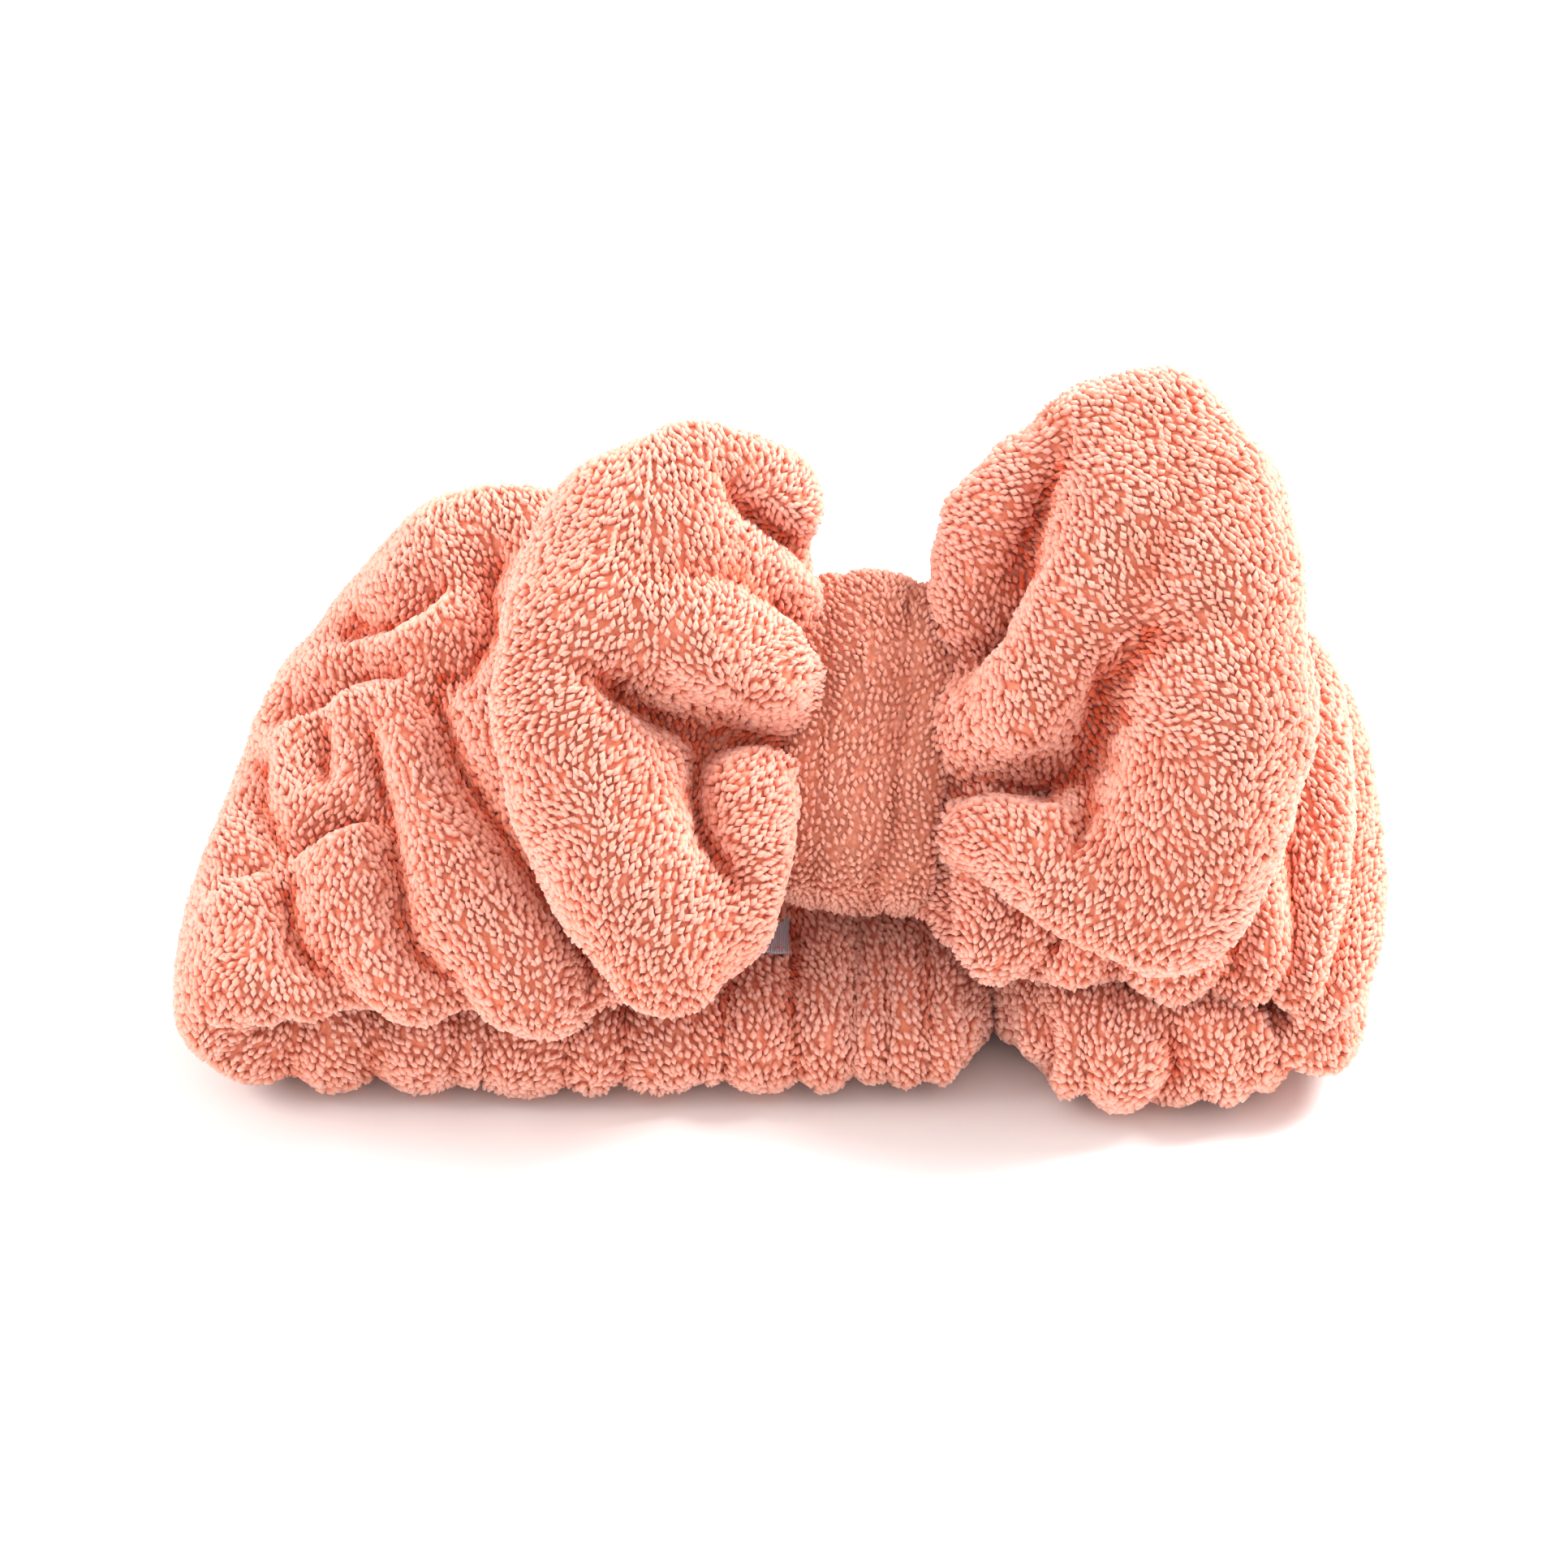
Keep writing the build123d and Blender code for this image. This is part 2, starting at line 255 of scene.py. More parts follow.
# ---------------------------------------------------------------- the bow's lobes
LEFT_LOBE = {
    "low": (-74, -68, -8),
    "high": (12, 64, 54),
    "soft": 5.0,
    "rolls": [
        [(-17, 40, 17, 11), (-30, 40, 21, 13), (-42, 31, 23, 15), (-49, 15, 24, 15.5), (-50, 0, 23, 15)],
        [(-44, 12, 25, 15), (-30, 10, 27, 14), (-21, 6.5, 21, 12.5), (-14.5, 6, 14, 9)],
        [(-31, 28, 22, 15), (-18, 28, 17, 11), (-13.5, 19, 9, 8)],
        [(-50, 0, 23, 15), (-48, -15, 22, 15), (-42, -30, 20, 14), (-35, -43, 18, 11)],
        [(-42, -12, 21, 12), (-36, -24, 19, 12), (-32, -37, 17, 11)],
        [(-20.5, -9, 14, 9), (-21.5, -16, 17, 10.5), (-22.5, -25, 18, 10.5), (-24, -35, 16, 9.5)],
        [(-11, 19, 5, 7), (-15, 0, 6, 9), (-15, -19, 5, 8)],
        [(-22, 2, 8, 10), (-32, 2, 10, 14), (-44, 0, 15, 15)],
        [(-22, -22, 8, 9), (-32, -30, 10, 12)],
    ],
    "creases": [
        [(-49, 3, 35, 0.8), (-43, 1, 25, 2.2), (-36, -2, 18, 3.0), (-29, -5, 15, 3.2), (-24, -5, 14, 2.6)],
        [(-25, -5, 14, 2.0), (-18, -4.5, 12, 1.3), (-12, -4.5, 9, 1.0)],
        [(-29, -6, 16, 2.6), (-30, -15, 16, 2.8), (-28, -23, 17, 2.6), (-22, -31, 21, 1.0)],
        [(-26, 41, 29, 1.0), (-21, 35, 20, 2.8), (-14, 31, 16, 2.6), (-5, 26, 11, 2.0)],
    ],
}
RIGHT_LOBE = {
    "low": (-10, -62, -8),
    "high": (86, 70, 58),
    "soft": 5.0,
    "rolls": [
        [(18, 20, 12, 8.5), (23, 34, 16, 11), (30, 41, 19, 11.5)],
        [(40, 46, 24, 12.5), (52, 48, 26, 12.5), (59, 34, 28, 15), (60, 15, 30, 16), (60, -3, 29, 16)],
        [(46, 32, 28, 15), (40, 18, 27, 14), (30, 0, 21, 13.5), (22, -2, 14, 10.5)],
        [(60, -3, 29, 16), (58, -19, 27, 15.5), (54, -32, 23, 13.5)],
        [(19, -20, 11, 8.5), (23, -21, 16, 9.5), (30, -26, 20, 10.5), (41, -33, 21, 10.5), (50, -37, 21, 10)],
        [(46, -19, 21, 12), (37, -21, 18, 11), (28, -17, 14, 9)],
        [(16, 18, 6, 7), (19, 0, 8, 9), (16, -18, 5, 7.5)],
        [(25, 0, 8, 11.5), (34, 0, 10, 14), (48, 0, 17, 16)],
        [(24, 26, 8, 11), (38, 34, 13, 14)],
    ],
    "creases": [
        [(35, 46, 31, 1.0), (31, 35, 21, 3.0), (27, 25, 18, 3.0), (22, 14, 17, 2.0)],
        [(13, -13, 9, 1.0), (23, -13, 11, 1.6), (31, -13, 8, 3.4), (37, -11, 14, 3.6), (43, -4, 26, 1.5)],
        [(38, -11, 17, 3.0), (38, -18, 21, 2.4), (35, -27, 25, 0.8)],
        [(56, 11, 44, 0.8), (47, 7, 35, 3.2), (41, 2, 27, 3.6), (38, -7, 18, 3.2)],
    ],
}


def lobe_field(shape, points):
    """Distance to a lobe's surface: rolls merged softly, then creased."""
    value = None
    for roll in shape["rolls"]:
        gap = chain_distance(points, roll)
        value = gap if value is None else smooth_min(value, gap, shape["soft"])
    for crease in shape["creases"]:
        value = -smooth_min(-value, cut_distance(points, crease), 3.0)
    value += CLEAR - 0.7 * lattice_noise(points, 11, 5) - 0.35 * lattice_noise(points, 5, 6)
    # Pleats run out from the knot and fade over the first centimetre or so
    reach = np.abs(points[:, 0] - 0.5) - 10
    fade = np.exp(-np.maximum(reach, 0) / 7)
    return value + 0.9 * fade * np.abs(np.sin(points[:, 1] * 0.42 + 0.5 * np.sin(points[:, 0] * 0.3)))


def sampled(shape, inset=0.0, step=VOXEL):
    """A lobe's surface, taken in by inset, from values on a grid."""
    low, high = np.array(shape["low"], float), np.array(shape["high"], float)
    axes = [np.arange(a, b, step) for a, b in zip(low, high)]
    grid = np.stack(np.meshgrid(*axes, indexing="ij"), axis=-1)
    field = lobe_field(shape, grid.reshape(-1, 3)).reshape(grid.shape[:3]) + inset
    return surface_of(field, low, step)


def puff(obj, held, frames=16, pressure=3.0, most=2.0):
    """Fills out a cover's rolls with a cloth simulation. held pins each point, from 0 to 1."""
    before = points_of(obj)
    group = obj.vertex_groups.new(name="held")
    for i in np.flatnonzero(held > 0):
        group.add([int(i)], float(held[i]), "REPLACE")
    cloth = obj.modifiers.new("puff", "CLOTH")
    cloth.settings.quality = 6
    cloth.settings.mass = 0.05
    cloth.settings.tension_stiffness = 12
    cloth.settings.compression_stiffness = 12
    cloth.settings.shear_stiffness = 6
    cloth.settings.bending_stiffness = 0.3
    cloth.settings.use_pressure = True
    cloth.settings.uniform_pressure_force = pressure
    cloth.settings.shrink_min = -0.02
    cloth.settings.vertex_group_mass = "held"
    cloth.settings.effector_weights.gravity = 0
    cloth.collision_settings.use_collision = False
    cloth.point_cache.frame_end = frames
    scene = bpy.context.scene
    for number in range(1, frames + 1):
        scene.frame_set(number)
    after = obj.evaluated_get(bpy.context.evaluated_depsgraph_get()).to_mesh()
    flat = np.empty(3 * len(after.vertices))
    after.vertices.foreach_get("co", flat)
    moved = flat.reshape(-1, 3) * 1000 - before
    obj.modifiers.remove(cloth)
    scene.frame_set(1)
    length = np.linalg.norm(moved, axis=1, keepdims=True)
    set_points(obj, before + moved * np.minimum(1, most / np.maximum(length, 1e-6)))
    relax(obj, 1)


# ---------------------------------------------------------------- the sleeve
# Round the ring from the middle of the rear half: front edge, back edge, half thickness
STATIONS = [
    ((14, -31, 10), (14, 56, 10), 9.5),
    ((-20, -32, 10), (-20, 57, 10), 9.5),
    ((-55, -32, 10.5), (-52, 57, 10), 10),
    ((-82, -32, 12), (-72, 56, 10.5), 11),
    ((-96, -33, 14), (-83, 55, 17), 10.5),
    ((-99, -35, 19), (-87, 54, 31), 10),
    ((-95, -36, 24), (-83, 53, 47), 10),
    ((-82, -36, 26), (-74, 52, 62), 9.5),
    ((-58, -37, 26), (-61, 49, 78), 10),
    ((-34, -37, 24), (-38, 41, 82), 9.5),
    ((-10, -16, 31), (-7, 30, 73), 7),
    ((4, -8, 33), (4, 28, 69), 5),
    ((14.5, -8, 33), (14.5, 28, 69), 4.7),
    ((25, -14, 31.5), (25, 28, 69), 6),
    ((36, -28, 28.5), (39, 32, 70), 9),
    ((58, -33, 29), (60, 44, 68), 9.5),
    ((80, -33, 27), (80, 52, 58), 10),
    ((91, -34, 25), (96, 53, 48), 10.5),
    ((94, -35, 19.5), (101, 53, 34), 10.5),
    ((89, -36, 14), (96, 55, 18), 12),
    ((74, -38.5, 13), (78, 57, 11), 12.5),
    ((51, -38, 12), (56, 57, 10.5), 11.5),
    ((38, -14, 8.5), (41, 55, 9), 7),
    ((30, -31, 10), (29, 57, 10), 9.5),
]
SQUARENESS = 2.7
KNOT_STATION = 12.0  # in the middle of the front half
# Creases that show: (station, turn) points, depth and width. Turn is -1 at the front edge, 0 in the middle
# of the outer face, 1 at the back edge and 2 in the middle of the inner face.
CREASES = [
    (
        [(7.8, 0.1), (8.05, 0.0), (8.2, -0.06), (8.4, -0.13), (8.7, -0.28), (8.9, -0.4),
         (9.05, -0.55), (9.1, -1.1)],
        11, 9,
    ),
    ([(7.4, 0.03), (7.5, -0.03), (7.6, -0.1), (7.7, -0.25), (7.8, -0.55), (8.03, -0.77), (8.1, -1.2)], 10, 8),
    ([(6.8, 0.1), (6.95, 0.0), (7.15, -0.06)], 7, 7),
    ([(6.75, -0.23), (6.9, -0.18), (7.2, -0.14), (7.45, -0.13), (7.65, -0.17)], 8, 7),
    ([(6.75, -0.23), (6.77, -0.35), (6.88, -0.47), (7.0, -0.6), (7.2, -0.72), (7.4, -1.2)], 9, 8),
    ([(6.0, -0.23), (6.4, -0.23), (6.75, -0.23)], 6, 8),
    ([(5.6, 0.17), (6.15, 0.0), (6.45, -0.11), (6.75, -0.23)], 7, 8),
    ([(6.0, 0.18), (6.4, 0.16), (6.85, 0.14), (7.15, 0.17), (7.6, 0.12), (7.8, 0.1)], 9, 8),
    ([(6.7, 0.42), (7.05, 0.34), (7.55, 0.26), (7.85, 0.28), (8.07, 0.34)], 8, 8),
    ([(8.5, 0.5), (8.35, 0.32), (8.4, 0.2), (8.2, 0.08), (7.8, 0.1)], 9, 11),
    ([(14.35, -1.3), (14.45, -0.9), (14.6, -0.5), (14.5, 0.2), (14.6, 0.9)], 9.1, 8.0),
    ([(15.1, -1.3), (14.95, -0.9), (15.15, -0.3), (15.05, 0.4), (15.2, 1.0)], 9.8, 8.0),
    ([(15.8, -1.3), (15.9, -0.8), (15.7, -0.2), (15.8, 0.4), (15.6, 1.0)], 9.1, 8.0),
    ([(16.5, -1.3), (16.6, -0.6), (16.5, 0.1), (16.7, 0.7), (16.6, 1.1)], 9.1, 8.0),
    ([(17.3, -1.2), (17.2, -0.6), (17.4, 0.0), (17.3, 0.6), (17.4, 1.1)], 7.8, 7.0),
    ([(18.2, -1.2), (18.1, -0.6), (18.3, 0.0), (18.1, 0.6), (18.2, 1.1)], 7.8, 7.0),
    ([(19.2, -1.2), (19.1, -0.7), (19.3, -0.1), (19.1, 0.6)], 7.2, 7.0),
    ([(20.3, -1.5), (20.2, -1.0), (20.4, -0.6)], 7.2, 6.5),
    ([(21.3, -1.6), (21.2, -1.1), (21.4, -0.6)], 7.2, 6.5),
]


def spline(values, at):
    """A closed smooth curve through values, at places counted in stations."""
    values = np.asarray(values, float)
    cell = np.floor(at).astype(int)
    t = (at - cell)[:, None]
    a, b, c, d = (values[(cell + k) % len(values)] for k in (-1, 0, 1, 2))
    return b + 0.5 * t * (c - a + t * (2 * a - 5 * b + 4 * c - d + t * (3 * (b - c) + d - a)))


def sleeve_point(station, turn, inset=0.0):
    """Where a place on the sleeve is, taken in by inset."""
    station, turn = np.broadcast_arrays(np.asarray(station, float), np.asarray(turn, float))
    rows = np.array([[*front, *back, half] for front, back, half in STATIONS])

    def middle(at):
        row = spline(rows, at)
        return (row[:, :3] + row[:, 3:6]) / 2

    row = spline(rows, station)
    centre = (row[:, :3] + row[:, 3:6]) / 2
    across = row[:, 3:6] - row[:, :3]
    reach = np.linalg.norm(across, axis=1, keepdims=True)
    across /= reach
    along = middle(station + 0.05) - middle(station - 0.05)
    normal = np.cross(along, across)
    normal /= np.linalg.norm(normal, axis=1, keepdims=True)
    angle = turn * pi / 2
    side, face = squared(np.sin(angle), SQUARENESS), squared(np.cos(angle), SQUARENESS)
    half = np.maximum(row[:, 6] - inset, 0.6)
    return (
        centre
        + across * (side * (reach[:, 0] / 2 - inset))[:, None]
        + normal * (face * half)[:, None]
    )


def even_stations(step):
    """Places round the ring about step millimetres apart."""
    fine = np.linspace(0, len(STATIONS), 2001)
    line = (sleeve_point(fine, -1.0) + sleeve_point(fine, 1.0)) / 2
    length = np.r_[0, np.cumsum(np.linalg.norm(np.diff(line, axis=0), axis=1))]
    count = int(length[-1] / step)
    return np.interp(np.arange(count) * length[-1] / count, length, fine)


def even_turns(count):
    """Places round a section, evenly spaced along its outline."""
    fine = np.linspace(-2, 2, 1601)
    line = sleeve_point(np.full(len(fine), 2.0), fine)
    length = np.r_[0, np.cumsum(np.linalg.norm(np.diff(line, axis=0), axis=1))]
    return np.interp(np.arange(count) * length[-1] / count, length, fine)


def crease_depths(points, station, turn):
    """How far each point sinks into the creases near it."""
    sunk = np.zeros(len(points))

    def press(path, depth, width, fade):
        path = np.array(path, float)
        at = np.linspace(0, len(path) - 1, 6 * len(path))
        line = np.stack([np.interp(at, np.arange(len(path)), path[:, i]) for i in (0, 1)], axis=1)
        places = sleeve_point(line[:, 0], line[:, 1])
        strength = np.minimum(1, np.minimum(at, len(path) - 1 - at) / fade + 0.15)
        near = np.flatnonzero(
            (points > places.min(axis=0) - width).all(axis=1)
            & (points < places.max(axis=0) + width).all(axis=1)
        )
        value = np.zeros(len(near))
        for a, b, s in zip(places[:-1], places[1:], strength):
            along = b - a
            t = np.clip((points[near] - a) @ along / max(along @ along, 1e-9), 0, 1)
            gap = np.linalg.norm(points[near] - a - t[:, None] * along, axis=1)
            shoulder = 1 - np.minimum(gap / width, 1)
            value = np.maximum(value, s * shoulder**1.7)
        sunk[near] = np.maximum(sunk[near], depth * value)

    for path, depth, width in CREASES:
        press(path, depth, width, 0.8)
    # The rear half ripples closely where its elastic gathers it; the other hidden faces are looser
    for places, low, high, depth, width, wander in gather_plan():
        for place in places:
            turns = np.linspace(low, high, 9)
            shift = np.cumsum(rng.normal(0, wander, 9)) * 0.5
            press(np.stack([place + shift, turns], axis=1), depth * rng.uniform(0.7, 1.2), width, 1.0)
    return sunk


def gather_plan():
    """Stations, range of turn, depth, width and wander of each run of gathers."""

    def run(start, end, count):
        return np.linspace(start, end, count) + rng.normal(0, 0.25 * (end - start) / count, count)

    return [
        (run(0.0, 3.4, 12), -2.0, 0.3, 3.6, 4.5, 0.045),
        (run(0.1, 3.5, 11), 0.3, 2.0, 4.2, 4.5, 0.045),
        (run(22.6, 23.8, 4), -2.0, 2.0, 3.6, 4.0, 0.03),
        (run(19.7, 22.0, 5), -1.5, 2.0, 3.8, 6.0, 0.07),
        (run(3.6, 6.4, 6), -2.0, -0.9, 4.5, 5.0, 0.04),
        (run(3.6, 6.4, 6), 0.6, 2.0, 4.5, 5.0, 0.04),
        (run(6.6, 10.6, 8), 1.15, 2.9, 6.0, 6.0, 0.04),
        (run(9.0, 10.9, 5), -1.2, 1.2, 5.5, 5.5, 0.03),
        (run(13.1, 14.2, 3), -1.2, 1.2, 5.5, 5.5, 0.03),
        (run(13.2, 18.8, 12), 1.1, 2.9, 6.0, 6.0, 0.04),
    ]


def sleeve_halves():
    """The sleeve as two closed double-walled pieces that meet under the knot and in the rear's middle."""
    stations, turns = even_stations(1.45), even_turns(150)
    s, t = pairs_of(stations, turns)
    rows, columns = len(stations), len(turns)
    base = sleeve_point(s, t)
    sunk = crease_depths(base, s, t)
    grid = base.reshape(rows, columns, 3)
    along = np.roll(grid, -1, axis=0) - np.roll(grid, 1, axis=0)
    around = np.roll(grid, -1, axis=1) - np.roll(grid, 1, axis=1)
    normal = np.cross(along, around)
    normal /= np.maximum(np.linalg.norm(normal, axis=2, keepdims=True), 1e-9)
    lift = 2.2 - np.minimum(sunk, 10.5) + 0.8 * lattice_noise(base, 14, 3) + 0.4 * lattice_noise(base, 6, 4)
    held = np.exp(-(np.abs(s - KNOT_STATION) / 0.8) ** 2)  # pressed flat inside the knot
    lift = lift * (1 - held)
    outer = grid + normal * lift.reshape(rows, columns, 1)
    for _ in range(2):
        neighbours = sum(np.roll(outer, shift, axis) for shift in (-1, 1) for axis in (0, 1)) / 4
        outer = 0.6 * outer + 0.4 * neighbours
    outer[..., 2] = np.maximum(outer[..., 2], 0.6)
    inner = outer - normal * WALL
    cut = int(np.argmin(np.abs(stations - KNOT_STATION)))
    halves = []
    for name, first, last in (("sleeve_left", 0, cut), ("sleeve_right", cut, rows)):
        picked = np.arange(first, last + 1) % rows
        walls = np.concatenate([outer[picked].reshape(-1, 3), inner[picked].reshape(-1, 3)])
        halves.append((name, walls, shell_faces(len(picked), columns), len(picked) * columns))
    return halves, columns


def shell_faces(rows, columns):
    """Faces of a double-walled tube: outer wall, inner wall and the two rims."""
    r, c = pairs_of(np.arange(rows - 1), np.arange(columns))
    nxt = (c + 1) % columns
    a, b, d, e = r * columns + c, r * columns + nxt, (r + 1) * columns + nxt, (r + 1) * columns + c
    shift = rows * columns
    outer = np.stack([a, b, d, e], axis=1)
    inner = np.stack([e, d, b, a], axis=1) + shift
    c = np.arange(columns)
    nxt = (c + 1) % columns
    last = (rows - 1) * columns
    first_rim = np.stack([nxt, c, c + shift, nxt + shift], axis=1)
    last_rim = np.stack([last + c, last + nxt, last + nxt + shift, last + c + shift], axis=1)
    return np.concatenate([outer, inner, first_rim, last_rim])


# ---------------------------------------------------------------- the knot wrap
def wrap_shell():
    """The knot: a folded strip closed round the bow's middle, as a double-walled loop."""
    rows, columns = 150, 44  # round the loop, across the strip's own outline
    v, u = pairs_of(np.arange(rows) / rows * 2 * pi, np.arange(columns) / columns * 2 * pi)
    w, n = squared(np.cos(v), LOOP_SQUARENESS), squared(np.sin(v), LOOP_SQUARENESS)
    front = np.clip(n, 0, 1)
    half = KNOT_HALF - 3.0 * np.clip(w, 0, 1) ** 2 * front - 0.8 * np.clip(-w, 0, 1) ** 2 * front
    side, lift = squared(np.cos(u), STRIP_SQUARENESS), squared(np.sin(u), STRIP_SQUARENESS)
    bulge = 1.6 * (1 - side**2)
    # Lengthwise folds of the gathered strip
    fold = 0.0
    for place, depth in ((-0.5, 1.4), (0.42, 2.4), (0.05, 1.0)):
        wave = place + 0.1 * np.sin(1.0 * v + 5 * place) + 0.06 * np.sin(4.0 * v)
        fold = fold + depth * np.exp(-np.abs(side - wave) / 0.11)
    out = lift * WRAP_THICKNESS + np.where(lift > 0, bulge - fold * np.clip(lift, 0, 1), 0.0)
    points = np.stack([side * half, w * (KNOT_REACH + out), n * (KNOT_DEPTH + out)], axis=1)
    points += 0.35 * np.stack([lattice_noise(points, 7, k) for k in (31, 32, 33)], axis=1)
    x, w = points[:, 0].copy(), points[:, 1].copy()
    points[:, 0] = 0.6 + x * cos(KNOT_LEAN) - w * sin(KNOT_LEAN)
    points[:, 1] = -1.0 + w * cos(KNOT_LEAN) + x * sin(KNOT_LEAN)
    a = np.arange(rows * columns).reshape(rows, columns)
    b, c, d = np.roll(a, -1, axis=1), np.roll(np.roll(a, -1, 0), -1, 1), np.roll(a, -1, axis=0)
    faces = np.stack([a.ravel(), b.ravel(), c.ravel(), d.ravel()], axis=1)
    return points, faces


def facing_out(obj):
    """Turns every face of a closed mesh outward."""
    mesh = bmesh.new()
    mesh.from_mesh(obj.data)
    bmesh.ops.recalc_face_normals(mesh, faces=mesh.faces)
    mesh.to_mesh(obj.data)
    mesh.free()


# ---------------------------------------------------------------- materials
def colour(code):
    """An sRGB hex code as linear light."""
    channels = [int(code[i : i + 2], 16) / 255 for i in (0, 2, 4)]
    return [*((c / 12.92 if c < 0.04045 else ((c + 0.055) / 1.055) ** 2.4) for c in channels), 1.0]


def node(tree, kind, settings=None, **links):
    """Adds a node. settings are its properties; links set or join its sockets by name or number."""
    new = tree.nodes.new(kind)
    for key, value in (settings or {}).items():
        setattr(new, key, value)
    for key, value in links.items():
        name = key.replace("_", " ")
        socket = new.inputs[int(key[1:])] if key[0] == "i" and key[1:].isdigit() else new.inputs[name]
        if isinstance(value, bpy.types.NodeSocket):
            tree.links.new(value, socket)
        else:
            socket.default_value = value
    return new


def new_material(name, roughness, **sockets):
    """A material whose shader has these values, by socket name."""
    material = bpy.data.materials.new(name)
    material.use_nodes = True
    tree = material.node_tree
    shader = tree.nodes["Principled BSDF"]
    shader.inputs["Roughness"].default_value = roughness
    for key, value in sockets.items():
        shader.inputs[key.replace("_", " ")].default_value = value
    return material, tree, shader


def ramp(tree, factor, stops):
    """A colour ramp with (place, hex) stops."""
    new = node(tree, "ShaderNodeValToRGB", Fac=factor)
    while len(new.color_ramp.elements) < len(stops):
        new.color_ramp.elements.new(0.5)
    for element, (place, code) in zip(new.color_ramp.elements, stops):
        element.position = place
        element.color = colour(code)
    return new.outputs["Color"]


def pile_material(name, stops, shades):
    """Coral microfibre pile. Each tuft is painted deep and saturated at its foot, painted shade between the
    tufts, and pale at its tip, a painted highlight where light catches it.
    """
    material, tree, shader = new_material(
        name, 0.95, Sheen_Weight=0.25, Sheen_Roughness=0.5, Specular_IOR_Level=0.15
    )
    place = node(tree, "ShaderNodeUVMap", {"uv_map": "OFBake"})
    parts = node(tree, "ShaderNodeSeparateXYZ", Vector=place.outputs["UV"])
    # Colour along each tuft's height: painted shade at its foot, painted highlight at its tip
    base = ramp(tree, parts.outputs["Y"], stops)
    # Random tone and painted shade in the creases, per tuft
    tint = ramp(tree, parts.outputs["X"], shades)
    multiply = {"data_type": "RGBA", "blend_type": "MULTIPLY"}
    mixed = node(tree, "ShaderNodeMix", multiply, i0=1.0, i6=base, i7=tint)
    tree.links.new(mixed.outputs[2], shader.inputs["Base Color"])
    return material


def backing_material(name, low, high, scale):
    """The fleece between its tufts: knitted backing seen through short pile, painted deeper in colour than
    the pile as shade between the tufts.
    """
    material, tree, shader = new_material(
        name, 0.95, Sheen_Weight=0.2, Sheen_Roughness=0.5, Specular_IOR_Level=0.1
    )
    place = node(tree, "ShaderNodeTexCoord").outputs["Object"]
    cells = node(tree, "ShaderNodeTexVoronoi", Vector=place, Scale=1000 / scale)
    # Paler at each cell's raised middle, darker at its sunken edges: painted shade that follows the bump
    shade = ramp(tree, cells.outputs["Distance"], [(0.1, high), (0.75, low)])
    tree.links.new(shade, shader.inputs["Base Color"])
    height = cells.outputs["Distance"]
    bump = node(tree, "ShaderNodeBump", {"invert": True}, Height=height, Distance=0.0008, Strength=0.8)
    tree.links.new(bump.outputs["Normal"], shader.inputs["Normal"])
    return material


def ribbed_material(name, low, high, pitch, axis):
    """Woven or twisted yarn: fine ribs at a real pitch."""
    material, tree, shader = new_material(name, 0.7)
    place = node(tree, "ShaderNodeTexCoord").outputs["Object"]
    wave = node(
        tree, "ShaderNodeTexWave", {"bands_direction": axis},
        Vector=place, Scale=314 / pitch, Distortion=0.6,
    )
    # Paler on the ribs' raised crests, darker in their grooves: painted shade that follows the bump
    shade = ramp(tree, wave.outputs["Fac"], [(0.2, low), (0.8, high)])
    tree.links.new(shade, shader.inputs["Base Color"])
    bump = node(tree, "ShaderNodeBump", Height=wave.outputs["Fac"], Distance=0.0003)
    tree.links.new(bump.outputs["Normal"], shader.inputs["Normal"])
    return material


# ---------------------------------------------------------------- tufts
def tuft_mesh():
    """One bud of clumped pile, 1 unit long: a square foot, a wider square above it and a point."""
    sides = 4
    turns = [2 * pi * i / sides for i in range(sides)]
    points = [(r * cos(t), r * sin(t), height) for height, r in ((0.0, 0.4), (0.55, 0.55)) for t in turns]
    points.append((0.0, 0.0, 1.0))
    pairs = [(i, (i + 1) % sides) for i in range(sides)]
    faces = [(a, b, b + sides, a + sides) for a, b in pairs]
    faces += [(sides + a, sides + b, 2 * sides) for a, b in pairs]
    faces.append(tuple(reversed(range(sides))))
    mesh = bpy.data.meshes.new("tuft")
    mesh.from_pydata(points, [], faces)
    mesh.polygons.foreach_set("use_smooth", [True] * len(mesh.polygons))
    return bpy.data.objects.new("tuft", mesh)


TUFT = tuft_mesh()


